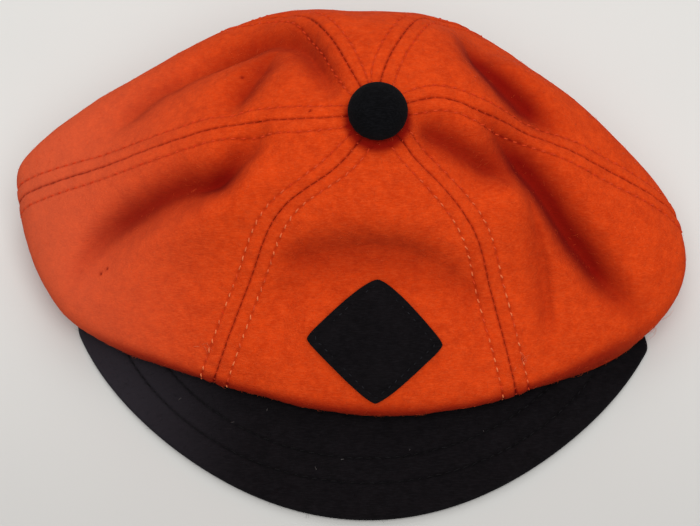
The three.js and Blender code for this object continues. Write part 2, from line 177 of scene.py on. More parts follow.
def crown_loft(turn, down):
    """Outer face before it is dented. Each ring is a Catmull-Rom curve through the twelve
    sections. Down a gore, Hermite curves run through the apex and the five rings, with
    the slope at each the mean of the chords beside it, weighted by the spans across."""
    turn, down = np.broadcast_arrays(np.asarray(turn, float) % 360, np.asarray(down, float))
    place = turn / SECTION_STEP
    index = np.floor(place).astype(int)
    count = len(SECTION_POINTS)
    a, b, c, d = (SECTION_POINTS[(index + step) % count] for step in (-1, 0, 1, 2))
    rings = hermite(b, c, (c - a) / 2, (d - b) / 2, (place - index)[..., None, None])
    rings[..., 4, 2] = rim_height(turn)
    rings = np.concatenate([np.broadcast_to(APEX, rings.shape[:-2] + (1, 3)), rings], axis=-2)
    spans = np.diff(STATIONS)[:, None]
    chords = np.diff(rings, axis=-2) / spans
    middle = chords[..., :-1, :] * spans[1:] + chords[..., 1:, :] * spans[:-1]
    middle = middle / (spans[1:] + spans[:-1])
    first = 1.5 * chords[..., :1, :] - 0.5 * middle[..., :1, :]
    last = 1.5 * chords[..., -1:, :] - 0.5 * middle[..., -1:, :]
    slopes = np.concatenate([first, middle, last], axis=-2)
    i = np.clip(np.searchsorted(STATIONS, down, side="right") - 1, 0, len(STATIONS) - 2)
    span = spans[i]
    share = (down - STATIONS[i])[..., None] / span

    def at(table, place):
        return np.take_along_axis(table, place[..., None, None], axis=-2)[..., 0, :]

    return hermite(at(rings, i), at(rings, i + 1), at(slopes, i) * span, at(slopes, i + 1) * span, share)


def fold_depth(x, y):
    """Sum over the folds of depth times a bell curve across the bowed line, times a smooth
    fade at both ends."""
    total = np.zeros(np.shape(x))
    for _, start, end, bow, left, right, depth in FOLDS:
        along = np.subtract(end, start).astype(float)
        length = np.hypot(*along)
        dx, dy = x - start[0], y - start[1]
        share = np.clip((dx * along[0] + dy * along[1]) / length**2, 0, 1)
        aside = (dy * along[0] - dx * along[1]) / length - 4 * bow * share * (1 - share)
        fade = smooth(np.minimum(share, 1 - share) / FOLD_FADE)
        total += depth * fade * bell(aside, np.where(aside > 0, left, right))
    return total


def smooth_route(route, steps):
    """Even steps along the Catmull-Rom curve through a route's points."""
    spots = np.array(route, float)
    spots = np.concatenate([2 * spots[:1] - spots[1:2], spots, 2 * spots[-1:] - spots[-2:-1]])
    place = np.linspace(0, len(route) - 1, steps)
    i = np.minimum(place.astype(int), len(route) - 2)
    a, b, c, d = (spots[i + step] for step in range(4))
    return hermite(b, c, (c - a) / 2, (d - b) / 2, (place - i)[:, None])


def crease_marks(x, y):
    """Depth and painted shade of the creases. As the folds, but across the nearest step of a
    curved route, with a sharper foot and a half width that narrows towards both ends. The
    painted shade spreads a third wider than the dent."""
    sunk, dark = np.zeros(np.shape(x)), np.zeros(np.shape(x))
    places = np.stack([x, y], axis=-1)
    for _, route, left, right, depth, darkness in CREASES:
        steps = smooth_route(route, CREASE_STEPS)
        ways = unit(np.gradient(steps, axis=0))
        away = places[..., None, :] - steps
        nearest = np.argmin((away**2).sum(axis=-1), axis=-1)
        away = places - steps[nearest]
        way = ways[nearest]
        aside = way[..., 0] * away[..., 1] - way[..., 1] * away[..., 0]
        share = (nearest + np.clip((away * way).sum(axis=-1), -1, 1) * 0.5) / (CREASE_STEPS - 1)
        fade = smooth(np.minimum(share, 1 - share) / CREASE_FADE)
        width = np.where(aside > 0, left, right) * (0.6 + 0.4 * fade)
        sunk += depth * fade * np.exp(-(np.abs(aside) / width) ** 1.6)
        dark += darkness * fade * bell(aside, width * CREASE_DARK_SPREAD)
    return sunk, dark


def grid_normals(points):
    """Unit normals of a grid of points: the step down a column crossed with the step
    along a row."""
    return unit(np.cross(np.gradient(points, axis=0), np.gradient(points, axis=1)))


def crown_sheet(turn, down):
    """Outer face, its normals and the painted shade of its creases on a grid of places. The
    folds sink half way between down and inwards, and the normals turn level at the rim."""
    loft = crown_loft(turn, down)
    reach = ramp(down, *DENT_START) * np.clip((1 - down) / DENT_END, 0, 1)
    sunk, dark = crease_marks(loft[..., 0], loft[..., 1])
    depth = (fold_depth(loft[..., 0], loft[..., 1]) + sunk) * reach
    face = loft - unit(grid_normals(loft) + UP) * depth[..., None]
    normals = grid_normals(face)
    normals[..., 2] *= 1 - ramp(down, *LEVEL_NORMALS)
    return face, unit(normals), dark * reach


# Each gore is one layer of felt about a sixteenth of an inch thick. Its long edges are
# turned in 7 mm, pressed open and topstitched, and its foot is turned up in a hem. The
# felt draws down into the seams, puffs between the rows and dimples at every needle hole.

FELT = 1.6
SEAM_THICKNESS = 3.0
SEAM_ALLOWANCE = 7.0
HEM_THICKNESS = 3.2
HEM_START = 0.905
HEM_ROUND = 1.2
SEAM_STEP = 60.0
EYE_HOLE = 0.019
SEAM_GAP = 0.05
SEAM_PITCH = 2.7
STITCH_OFFSET = 4.2
STITCH_PITCH = 3.1
PUFF = 0.22
PUCKER = 0.11
PUCKER_PITCH = 7.3
PUCKER_REACH = 6
GATHER = 0.09
GATHER_PITCH = 3.7
HOLE_DEPTH = 0.5
HOLE_DARK = 1.2
BUTTON_RADIUS = 8.8
# A ring of painted shade round the button: how far it reaches past the button, and its fade
BUTTON_RING = 2.6
BUTTON_RING_FADE = 3

# Grooves and their dark lines, which are painted shade: the amount at a stitch, what is
# added half way to the next, and the half width
SEAM_GROOVE = (0.245, 0.1575, 0.45)
SEAM_DARK = (0.36, 0.24, 0.36)
ROW_GROOVE = (0.1, 0.26, 0.6)
ROW_DARK = (0.08, 0.34, 0.4)

# Shares of the way down where these begin, with their spans; the front in millimetres
# FOOT_DARK sets where the painted shade along the hem's foot begins
FOOT_DARK = (0.827, 0.062)
GATHERED = (0.9, 0.05)
STITCHING_FADE = (0.965, 0.03)
RELIEF_FADE = (0.97, 0.02)
FOOT_START = 0.99
FOOT_SPAN = 0.01
FRONT = (25, 15)

# Columns of a gore's grid: their steps from the seam, which one is stitched, and the rest
EDGE_STEPS = np.array([0, 0.25, 0.5, 0.8, 1.2, 1.7, 2.3, 2.8, 3.2, 3.5, 3.8, 4.0, 4.2, 4.4, 4.6,
                       4.9, 5.3, 5.8, 6.3, 6.7, 6.9, 7.1, 7.5])
STITCH_COLUMN = 12
MIDDLE_COLUMNS = 76
NARROW = 0.42 / 7.5
HALF_GORE = 0.49

# Small moth holes in the felt: place and radius
MOTH_HOLES = (((-76.1, -16.9, 25.2), 0.6), ((-74, -16.2, 26.6), 0.45), ((-32.7, 34.6, 55.1), 0.5),
              ((-11.7, 16.5, 64.4), 0.45), ((-3.4, -20, 41), 0.45))


def ripple(points, wavelength, amount, seed):
    """Soft unevenness: a sum of twelve sine waves of about one wavelength that run in
    random directions."""
    chance = np.random.default_rng(seed)
    total = np.zeros(points.shape[:-1])
    for _ in range(12):
        way = unit(chance.normal(size=3)) * 2 * np.pi / (wavelength * chance.uniform(0.75, 1.5))
        total += np.sin(points @ way + chance.uniform(0, 6.28))
    return total * amount / 4


def lengths_along(points, axis):
    """Length travelled along a grid's rows or columns, from 0 at the first."""
    steps = np.linalg.norm(np.diff(points, axis=axis), axis=-1)
    pad = [(0, 0)] * steps.ndim
    pad[axis] = (1, 0)
    return np.pad(np.cumsum(steps, axis=axis), pad)


def gore_places(first_turn, down):
    """Turns of a gore's columns at each row: steps of fixed width beside both seams and even
    columns between. Towards the apex the steps close up: a quarter of each shrinks with the
    gore, and the rest is a smooth minimum of it and half the gore's width, the power -1/6
    of the sum of their powers -6. Columns are looked up on the length along their row."""
    count = 40
    turns = first_turn + np.linspace(0, SEAM_STEP, count + 1)
    travelled = lengths_along(crown_loft(turns[None, :], down[:, None]), 1)
    width = travelled[:, -1:]
    half = HALF_GORE * width
    closed = EDGE_STEPS * half / (EDGE_STEPS**6 + half**6) ** (1 / 6)
    left = 0.75 * closed + 0.25 * EDGE_STEPS * np.minimum(1, NARROW * width) + SEAM_GAP / 2
    right = width - left[:, ::-1]
    inner = np.linspace(0, 1, MIDDLE_COLUMNS + 1)[1:-1]
    middle = left[:, -1:] + (right[:, :1] - left[:, -1:]) * inner
    places = np.concatenate([left, middle, right], axis=1)
    index = np.clip((travelled[:, None, :] <= places[:, :, None]).sum(axis=-1) - 1, 0, count - 1)
    start, end = (np.take_along_axis(travelled, index + step, axis=1) for step in (0, 1))
    return first_turn + (index + (places - start) / (end - start)) * SEAM_STEP / count


def closed_sheet(outer, inner):
    """Points and faces of a closed body between two grids of the same size, whose points
    are numbered row by row: both grids, the inner one flipped, and a wall round the edge."""
    index = np.arange(outer[..., 0].size).reshape(outer.shape[:2])
    grid = np.stack([index[:-1, :-1], index[1:, :-1], index[1:, 1:], index[:-1, 1:]], axis=-1).reshape(-1, 4)
    edge = np.concatenate([index[:-1, 0], index[-1, :-1], index[:0:-1, -1], index[0, :0:-1]])
    ahead = np.roll(edge, -1)
    wall = np.stack([ahead, edge, edge + index.size, ahead + index.size], axis=-1)
    points = np.concatenate([outer.reshape(-1, 3), inner.reshape(-1, 3)])
    return points, [grid, grid[:, ::-1] + index.size, wall]


def add_object(name, data):
    """A new object in the scene that holds the mesh, light or camera given."""
    thing = bpy.data.objects.new(name, data)
    bpy.context.scene.collection.objects.link(thing)
    return thing


def make_piece(name, points, faces, finish, slot, attributes=None):
    """A mesh object from points in millimetres and lists of faces with the same number of
    corners, with smooth shading. Attributes are one number per point, or one for all."""
    mesh = bpy.data.meshes.new(name)
    corners = np.concatenate([group.ravel() for group in faces])
    sizes = np.concatenate([np.full(len(group), group.shape[1]) for group in faces])
    mesh.vertices.add(len(points))
    mesh.vertices.foreach_set("co", ((points - PLAN_MIDDLE) * MILLIMETRE).ravel())
    mesh.loops.add(len(corners))
    mesh.loops.foreach_set("vertex_index", corners)
    mesh.polygons.add(len(sizes))
    mesh.polygons.foreach_set("loop_start", np.cumsum(sizes) - sizes)
    mesh.polygons.foreach_set("use_smooth", np.ones(len(sizes), bool))
    mesh.update(calc_edges=True)
    for key, values in (attributes or {}).items():
        values = np.full(len(points), values)
        mesh.attributes.new(key, "FLOAT", "POINT").data.foreach_set("value", values)
    mesh.materials.append(finish)
    piece = add_object(name, mesh)
    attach(piece, "root")
    return piece


def gore_rows():
    """Places down the gore: even rows, close rows at the hem's edge and round its foot."""
    turned = np.sin(np.linspace(0, np.pi / 2, 6))
    return np.concatenate([np.linspace(EYE_HOLE, HEM_START - 0.004, 205),
                           HEM_START + np.linspace(-0.002, 0.004, 4),
                           np.linspace(HEM_START + 0.008, 0.989, 16), FOOT_START + FOOT_SPAN * turned])


def wave(along, pitch):
    """A cosine wave that is 0 at whole pitches, the stitches, and 1 half way between."""
    return 0.5 - 0.5 * np.cos(2 * np.pi * along / pitch)


def stitched(row, aside, at_hole):
    """A bell curve across a row of stitches, whose height grows with at_hole, from 0 to 1."""
    at_stitch, added, width = row
    return (at_stitch + added * at_hole) * bell(aside, width)


def gore(first_turn, seed):
    """Outer and inner grids of one gore, the outer one's normals, how much painted shade its
    points carry, and the lines of its first seam and of its two rows of topstitching. The outer
    face is the crown's, lifted along its normals by bell curves across the seams and rows,
    sine waves along them and ripples. The inner one lies a wall's thickness under it."""
    down = gore_rows()[:, None]
    turn = gore_places(first_turn, down[:, 0])
    face, normal, dark = crown_sheet(turn, np.broadcast_to(down, turn.shape))
    from_left = lengths_along(face, 1)
    from_right = from_left[:, -1:] - from_left
    from_seam = np.minimum(from_left, from_right)
    fade = 1 - ramp(down, *STITCHING_FADE)
    travelled = lengths_along(face, 0)
    sewn = wave(travelled, SEAM_PITCH)
    lift = -stitched(SEAM_GROOVE, from_seam, sewn) * fade
    lift += PUFF * np.sin(np.pi * np.clip(from_seam / STITCH_OFFSET, 0, 1)) ** 0.8
    # Painted shade along the seam grooves and the creases
    painted_shade = stitched(SEAM_DARK, from_seam, sewn) + dark
    # Painted shade in a ring round the button, where it presses into the felt
    around = np.linalg.norm(face[..., :2] - APEX[:2] + [0, 1.5], axis=-1)
    painted_shade = painted_shade + smooth((BUTTON_RADIUS + BUTTON_RING - around) / BUTTON_RING_FADE)
    # Painted shade along the foot of the hem, where the crown turns under, deeper in front
    painted_shade = painted_shade + (0.2 + 0.6 * ramp(-face[..., 1], *FRONT)) * ramp(down, *FOOT_DARK)
    rows = [(0, travelled[:, 0])]
    for column in (STITCH_COLUMN, turn.shape[1] - 1 - STITCH_COLUMN):
        along = lengths_along(face[:, column:column + 1], 0)
        aside = from_left - from_left[:, column:column + 1]
        at_hole = wave(along, STITCH_PITCH)
        lift -= stitched(ROW_GROOVE, aside, at_hole**2) * fade
        # Painted shade in the needle holes along the rows
        painted_shade = painted_shade + stitched(ROW_DARK, aside, at_hole)
        rows.append((column, along[:, 0]))
    pucker = np.sin(2 * np.pi * travelled / PUCKER_PITCH + ripple(face, 30, 4, seed + 1))
    lift += PUCKER * pucker * np.exp(-from_seam / PUCKER_REACH) * fade
    gathers = np.sin(2 * np.pi * from_left / GATHER_PITCH + ripple(face, 9, 3, seed + 3))
    lift += GATHER * gathers * ramp(down, *GATHERED)
    lift += ripple(face, 17, 0.16, seed) + ripple(face, 6, 0.05, seed + 2)
    for spot, radius in MOTH_HOLES:
        hole = bell(np.linalg.norm(face - spot, axis=-1), radius)
        lift -= HOLE_DEPTH * hole
        # Painted shade in the moth holes' dents
        painted_shade = painted_shade + HOLE_DARK * hole
    turned = np.clip((down - FOOT_START) / FOOT_SPAN, 0, 1)
    corner = HEM_ROUND * (1 - np.sqrt(1 - turned**2))
    lift *= 1 - ramp(down, *RELIEF_FADE)
    outer = face + normal * (lift - corner)[..., None]
    wall = FELT + (SEAM_THICKNESS - FELT) * (1 - ramp(from_seam, SEAM_ALLOWANCE - 0.15, 0.35))
    in_hem = ramp(down, HEM_START, 0.003)
    wall = wall + (HEM_THICKNESS - wall) * in_hem - corner
    inner = face - normal * wall[..., None]
    lines = [(outer[:, column], normal[:, column], along, down[:, 0]) for column, along in rows]
    return outer, inner, normal, np.clip(painted_shade, 0, 1), lines


class Reading:
    """A number that a finish works out at each point of a surface. Python's operators on
    it add the Math nodes."""

    def __init__(self, finish, socket):
        self.finish = finish
        self.socket = socket

    def _math(self, operation, first, second):
        return self.finish.node("ShaderNodeMath", {"operation": operation}, {0: first, 1: second})

    def __add__(self, other):
        return self._math("ADD", self, other)

    def __sub__(self, other):
        return self._math("SUBTRACT", self, other)

    def __rsub__(self, other):
        return self._math("SUBTRACT", other, self)

    def __mul__(self, other):
        return self._math("MULTIPLY", self, other)

    __radd__ = __add__
    __rmul__ = __mul__

    def between(self, low, high):
        """0 at low, 1 at high, smooth between and clamped outside."""
        settings = {"interpolation_type": "SMOOTHSTEP"}
        return self.finish.node("ShaderNodeMapRange", settings, {"Value": self, 1: low, 2: high})


class Finish:
    """One material: a Principled shader and the nodes that feed it."""

    def __init__(self, name, roughness, specular, sheen=0.0, sheen_colour=(1, 1, 1, 1)):
        self.material = bpy.data.materials.new(name)
        self.material.use_nodes = True
        self.tree = self.material.node_tree
        self.shader = self.tree.nodes["Principled BSDF"]
        looks = {"Roughness": roughness, "Sheen Weight": sheen, "Sheen Roughness": 0.6,
                 "Sheen Tint": sheen_colour, "Specular IOR Level": specular}
        for key, value in looks.items():
            self.put(self.shader.inputs[key], value)

    def put(self, socket, value):
        if isinstance(value, Reading):
            self.tree.links.new(value.socket, socket)
        else:
            socket.default_value = value

    def node(self, kind, settings=None, inputs=None, output=0):
        made = self.tree.nodes.new(kind)
        for key, value in (settings or {}).items():
            setattr(made, key, value)
        for key, value in (inputs or {}).items():
            self.put(made.inputs[key], value)
        return Reading(self, made.outputs[output])

    def place(self):
        """The point's place on the object, in metres."""
        return self.node("ShaderNodeTexCoord", output="Object")

    def noise(self, size, detail=2.0, roughness=0.5, vector=None):
        """Cloudy noise whose blotches are about size metres across."""
        inputs = {"Vector": vector or self.place(), "Scale": 1 / size, "Detail": detail}
        return self.node("ShaderNodeTexNoise", None, {**inputs, "Roughness": roughness})

    def stretched(self, across, along, angle):
        """The point's place squeezed along one way, so that a noise on it makes streaks."""
        inputs = {"Vector": self.place(), "Rotation": angle, "Scale": (1 / along, 1 / across, 1 / across)}
        return self.node("ShaderNodeMapping", None, inputs)

    def attribute(self, name):
        return self.node("ShaderNodeAttribute", {"attribute_name": name}, output="Fac")

    def mix(self, share, first, second):
        """First colour where share is 0, second where it is 1: the node's inputs 6 and 7."""
        return self.node("ShaderNodeMix", {"data_type": "RGBA"}, {0: share, 6: first, 7: second}, output=2)

    def colour(self, value):
        self.put(self.shader.inputs["Base Color"], value)

    def bump(self, height, depth, strength):
        """Raises the surface by height times depth metres."""
        inputs = {"Height": height, "Distance": depth, "Strength": strength}
        self.put(self.shader.inputs["Normal"], self.node("ShaderNodeBump", None, inputs))


def wool_felt(name, wool, worn, shade_and_mottle, fluff, fluff_share, sheen, sheen_colour, faded=None):
    """Pressed wool felt: cloudy blotches between the wool's own colour and a worn one, dark
    mottles, streaks of nap that lie across the cap, fine crossing fibres, lighter fluff,
    and, where the part asks, a painted pale haze of light and painted shade. The dark mottles
    and the painted shade share one dark colour."""
    finish = Finish(name, roughness=0.95, sheen=sheen, sheen_colour=sheen_colour, specular=0.03)
    clouds = finish.noise(0.011, detail=4, roughness=0.6).between(0.3, 0.7)
    blotches = finish.noise(0.0035, detail=3, roughness=0.6).between(0.3, 0.72)
    mottles = finish.noise(0.0016, detail=4, roughness=0.7).between(0.3, 0.7)
    nap = finish.noise(1.0, detail=3, vector=finish.stretched(0.0008, 0.004, (0.0, 0.0, 0.1)))
    nap = nap.between(0.3, 0.7)
    one_way = finish.noise(1.0, detail=2, vector=finish.stretched(0.0003, 0.0022, (0.3, 0.1, 0.5)))
    other_way = finish.noise(1.0, detail=2, vector=finish.stretched(0.0003, 0.0019, (0.2, 0.4, 2.1)))
    fibres = one_way * 0.5 + other_way * 0.5
    grain = finish.noise(0.0005, detail=2)
    shade = finish.mix(clouds * 0.5 + blotches * 0.5, wool, worn)
    shade = finish.mix(fibres.between(0.42, 0.66) * fluff_share, shade, fluff)
    dark = mottles * 0.14 + blotches * 0.1 + nap * 0.05 + (1 - grain.between(0.3, 0.5)) * 0.1
    shade = finish.mix(dark, shade, shade_and_mottle)
    # Painted pale haze of light where the part asks
    if faded:
        shade = finish.mix(finish.attribute("faded"), shade, faded)
    # Painted shade from the part's attribute, mixed towards the dark colour
    finish.colour(finish.mix(finish.attribute("painted_shade") * 0.93, shade, shade_and_mottle))
    finish.bump(fibres * 0.5 + grain * 0.2 + mottles * 0.3, 0.0006, 0.6)
    return finish.material


crown_felt = wool_felt("crown_felt", wool=(0.76, 0.063, 0.0068, 1), worn=(0.64, 0.047, 0.0048, 1),
                       shade_and_mottle=(0.20, 0.0025, 0.002, 1), fluff=(0.82, 0.105, 0.022, 1), fluff_share=0.45,
                       faded=(0.70, 0.135, 0.064, 1), sheen=0.015, sheen_colour=(1.0, 0.6, 0.45, 1))

GORES = ("rear_right", "back", "rear_left", "front_left", "front", "front_right")
seam_lines = []
stitch_lines = []
gore_faces = []
for number, side in enumerate(GORES):
    outer, inner, normal, painted_shade, lines = gore(number * SEAM_STEP, seed=40 + 5 * number)
    points, faces = closed_sheet(outer, inner)
    # Painted pale haze of light on the crown's left end
    looks = {"painted_shade": np.concatenate([painted_shade.ravel(), np.zeros(painted_shade.size)]),
             "faded": 0.5 * smooth((-30 - points[:, 0]) / 75)}
    cloth = make_piece(side + "_gore", points, faces, crown_felt, "crown_felt", looks)
    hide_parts(side + "_panel")
    seam_lines.append(lines[0])
    stitch_lines.extend(lines[1:])
    gore_faces.append((outer, normal))


# The topstitching is orange cotton, faded paler than the wool in front. Eight stitches to
# the inch run 4 mm from each seam and hold its allowances flat; each is drawn down at both
# ends, so that only its middle shows, askew. Bars of seam thread show in the grooves.

THREAD_RADIUS = 0.25
STITCH_LENGTH = 1.6
BAR_RADIUS = 0.15
BAR_LENGTH = 0.9
ROW_START = 9.0
ROW_END = 0.985


def strands(paths, up, radius, sides=5):
    """Closed round strands along many paths at once: a ring of points at each step, in the
    plane of up and the direction across the path, with one face over each end."""
    count, steps = paths.shape[:2]
    way = unit(np.gradient(paths, axis=1))
    across = unit(np.cross(way, up))
    above = np.cross(across, way)
    angle = 2 * np.pi * np.arange(sides) / sides
    ring = across[:, :, None] * np.cos(angle)[:, None] + above[:, :, None] * np.sin(angle)[:, None]
    points = paths[:, :, None] + ring * np.asarray(radius)[..., None, None]
    index = np.arange(count * steps * sides).reshape(count, steps, sides)
    ahead = np.roll(index, -1, axis=2)
    walls = np.stack([index[:, :-1], ahead[:, :-1], ahead[:, 1:], index[:, 1:]], axis=-1)
    ends = np.concatenate([index[:, 0, ::-1], index[:, -1]])
    return points.reshape(-1, 3), [walls.reshape(-1, 4), ends]


def even_places(line, pitch, start, end):
    """Points, normals and directions at even steps along a line with a length at each of
    its points."""
    at = np.arange(start, end, pitch)
    place, normal = (np.stack([np.interp(at, line[2], row) for row in part.T], axis=-1) for part in line[:2])
    return place, unit(normal), unit(np.gradient(place, axis=0))


def row_places(line, pitch):
    """Even places, normals and directions along a row, at whole pitches from the top of the
    gore, starting beside the button and ending above the foot of the hem."""
    points, normals, along, down = line
    first = np.interp(ROW_START, np.linalg.norm(points - APEX, axis=1), along)
    last = np.interp(ROW_END, down, along)
    return even_places((points, normals, along), pitch, pitch * np.ceil(first / pitch), last)


def stitches(places, normals, ways, length, radius, rise, skew, seed):
    """One short strand at each place: an arch that stands rise above the felt in its
    middle and dives into it at both ends, turned by skew from the row."""
    chance = np.random.default_rng(seed)
    count = len(places)
    across = np.cross(normals, ways)
    tilt = skew + chance.normal(0, 0.14, (count, 1))
    ways = unit(ways * np.cos(tilt) + across * np.sin(tilt))
    size = length * chance.uniform(0.8, 1.2, (count, 1, 1))
    step = np.linspace(-0.5, 0.5, 7)[None, :, None]
    height = rise - 0.75 * (2 * step) ** 4 + chance.normal(0, 0.05, (count, 1, 1))
    paths = places[:, None] + ways[:, None] * step * size + normals[:, None] * height
    girth = radius * (1 - 0.35 * (2 * step[..., 0]) ** 2) * np.ones((count, 1))
    return strands(paths, normals[:, None], girth)


def joined(parts):
    """Several sets of points and faces as one."""
    points, faces, start = [], [], 0
    for part_points, part_faces in parts:
        points.append(part_points)
        faces.extend(group + start for group in part_faces)
        start += len(part_points)
    return np.concatenate(points), faces


def cotton(name, colour, dark, light, faded=None, sheen=0.0):
    """Cotton or wool thread: a colour that age turns lighter in places, fine dark plies,
    and a faded colour where the part asks."""
    finish = Finish(name, roughness=0.8, sheen=sheen, sheen_colour=light, specular=0.1)
    plies = finish.noise(0.0002, detail=2).between(0.35, 0.65)
    age = finish.noise(0.004).between(0.35, 0.65)
    shade = finish.mix(age * 0.5, colour, light)
    if faded:
        shade = finish.mix(finish.attribute("faded"), shade, faded)
    finish.colour(finish.mix(plies * 0.35, shade, dark))
    finish.bump(plies, 0.0001, 0.5)
    return finish.material


orange_cotton = cotton("orange_cotton", colour=(0.66, 0.045, 0.008, 1), dark=(0.46, 0.024, 0.004, 1),
                       light=(0.75, 0.09, 0.025, 1), faded=(0.92, 0.24, 0.085, 1))

rows = []
for number, line in enumerate(stitch_lines):
    places, normal, way = row_places(line, STITCH_PITCH)
    rows.append(stitches(places, normal, way, STITCH_LENGTH, THREAD_RADIUS, rise=0.13, skew=0.18,
                         seed=200 + number))
points, faces = joined(rows)
faded = 0.04 + 0.96 * smooth((4 - points[:, 1]) / 26) * smooth((70 - np.abs(points[:, 0])) / 20)
faded = faded * smooth(0.75 + ripple(points, 5, 0.9, 199))
make_piece("topstitching", points, faces, orange_cotton, "crown_felt", {"faded": faded})

bars = []
for number, line in enumerate(seam_lines):
    places, normal, way = row_places(line, SEAM_PITCH)
    bars.append(stitches(places, normal, np.cross(normal, way), BAR_LENGTH, BAR_RADIUS, rise=0.06, skew=0.5,
                         seed=230 + number))
make_piece("seam_bars", *joined(bars), orange_cotton, "crown_felt", {"faded": 0.02})


# Fine fibres stand out of the felt all over, thickest along the foot of the hem, where it
# rubs. A few threads have frayed at both front seams and at the right end of the brim.

FIBRE_RADIUS = 0.035
GORE_FIBRES = 520
HEM_FIBRES = 160
HEM_ROWS = 12
FRAYED_THREADS = 8


def fibres(places, normals, length, radius, rise, chance):
    """One fine curved strand from just under the surface at each place, lying over any
    way, bending sideways and rising by a share of its length before it comes down, but
    never below the table."""
    count = len(places)
    ways = unit(np.cross(normals, chance.normal(size=(count, 3))))
    sides = np.cross(normals, ways)
    size = length * chance.uniform(0.5, 1.5, (count, 1, 1))
    bend = chance.normal(0, 0.45, (count, 1, 1))
    lift = rise * chance.uniform(0.3, 1, (count, 1, 1))
    step = np.linspace(0, 1, 5)[None, :, None]
    path = ways[:, None] * step + sides[:, None] * bend * step**2
    path = path + normals[:, None] * lift * (step - 0.75 * step**2)
    path = places[:, None] - normals[:, None] * 0.05 + path * size
    path[..., 2] = np.maximum(path[..., 2], 2 * radius)
    girth = radius * (1 - 0.6 * step[..., 0]) * np.ones((count, 1))
    return strands(path, normals[:, None], girth, sides=3)


def scattered(grid, normals, count, length, rise, chance):
    """Fibres at random places on a grid, spread evenly over its area."""
    area = np.cross(np.gradient(grid, axis=0), np.gradient(grid, axis=1))
    area = np.linalg.norm(area, axis=-1).ravel()
    picked = chance.choice(len(area), count, p=area / area.sum())
    spots, ups = grid.reshape(-1, 3)[picked], normals.reshape(-1, 3)[picked]
    return fibres(spots, ups, length, FIBRE_RADIUS, rise, chance)


chance = np.random.default_rng(500)
tufts = []
for outer, normal in gore_faces:
    tufts.append(scattered(outer, normal, GORE_FIBRES, length=1.5, rise=0.5, chance=chance))
    hem, ups = outer[-HEM_ROWS:], normal[-HEM_ROWS:]
    tufts.append(scattered(hem, ups, HEM_FIBRES, length=1.2, rise=0.8, chance=chance))
wool_fluff = cotton("wool_fluff", colour=(0.80, 0.10, 0.02, 1), dark=(0.5, 0.04, 0.01, 1),
                    light=(0.88, 0.16, 0.05, 1), faded=(0.9, 0.3, 0.15, 1))
make_piece("crown_fluff", *joined(tufts), wool_fluff, "crown_felt")

# Columns: the gore, the place, how far the threads spread, their length, radius and rise
FRAYED = ((3, (-44.4, -38.4, 18.8), 0.7, 2.2, 0.06, 0.7), (5, (94, -27, 10), 1.2, 3.5, 0.05, 1.4),
          (5, (51.4, -43.8, 17.6), 0.6, 1.8, 0.06, 0.6))
frayed = []
for number, place, spread, length, radius, rise in FRAYED:
    outer, normal = gore_faces[number]
    near = np.linalg.norm(outer - place, axis=-1).argmin()
    spots = outer.reshape(-1, 3)[near] + chance.normal(0, spread, (FRAYED_THREADS, 3))
    ups = np.tile(normal.reshape(-1, 3)[near], (FRAYED_THREADS, 1))
    frayed.append(fibres(spots, ups, length, radius, rise, chance))
make_piece("frayed_threads", *joined(frayed), wool_fluff, "crown_felt", {"faded": 0.7})


# The brim is two layers of black felt over a thin stiffener, cut as a crescent, turned,
# pressed and sewn flat under the front of the rim. Two rows of black stitching follow its
# outer edge and hold the stiffener. It lies nearly flat on the table.

BRIM_CENTRE = np.array([5.3, 10.0])
BRIM_RADIUS = 96.3
BRIM_POINT = 1.3
BRIM_WAVE = 4.6
BRIM_ARC = (198.0, 338.6)
BRIM_TIP = 0.03
BRIM_ROWS = (9.8, 17.6)
BRIM_PITCH = 2.9
BRIM_GROOVE = (0.15, 0.22, 0.8)
# The painted shade in the brim's stitch grooves
BRIM_DARK = (0.25, 0.35, 0.5)
BRIM_EDGE = 1.25
BRIM_SLOPE = 1.6
BRIM_FIBRES = 900
LINT_RADIUS = 0.08


def brim_lines(share):
    """Sewn edge and outer edge at each share of the brim's length. The sewn edge follows
    the hem's inner face; the outer one is a circle that closes in on the rim at the tips."""
    turn = BRIM_START + BRIM_SPAN * share
    near = np.stack([turn - 0.4, turn, turn + 0.4], axis=1)
    ends = np.broadcast_to([[0.999], [1.0]], (len(share), 2, 1))
    grid = crown_loft(near[:, None, :], ends)
    level = np.cross(grid[:, 1, 1] - grid[:, 0, 1], grid[:, 1, 2] - grid[:, 1, 0])
    level[:, 2] = 0
    level = unit(level)
    rim = grid[:, 1, 1]
    arc = np.radians(BRIM_ARC[0] + (BRIM_ARC[1] - BRIM_ARC[0]) * share)
    radius = BRIM_RADIUS + BRIM_POINT * np.cos(BRIM_WAVE * (arc - 1.5 * np.pi))
    circle = BRIM_CENTRE + radius[:, None] * np.stack([np.cos(arc), np.sin(arc)], axis=-1)
    close = (1 - smooth(np.minimum(share, 1 - share) / BRIM_TIP))[:, None]
    sewn = (rim - level * HEM_THICKNESS)[:, :2]
    edge = circle + ((rim - level)[:, :2] - circle) * close
    return sewn, edge


def brim_angle(plan):
    """The angle of places round the middle of the brim's circle, from 0 to 2 pi."""
    away = plan - BRIM_CENTRE
    return np.arctan2(away[..., 1], away[..., 0]) % (2 * np.pi)


def brim_grooves(plan):
    """How far places lie inside the brim's circle, the depth of the grooves that follow it
    at the distances of the stitch rows, and the painted shade in them. Both are bell curves
    across the row and swell at the needle holes."""
    inside = BRIM_RADIUS - np.linalg.norm(plan - BRIM_CENTRE, axis=-1)
    depth, dark = np.zeros(inside.shape), np.zeros(inside.shape)
    for row in BRIM_ROWS:
        at_hole = wave(brim_angle(plan) * (BRIM_RADIUS - row), BRIM_PITCH)
        depth += stitched(BRIM_GROOVE, inside - row, at_hole**2)
        dark += stitched(BRIM_DARK, inside - row, at_hole)
    return inside, depth, dark


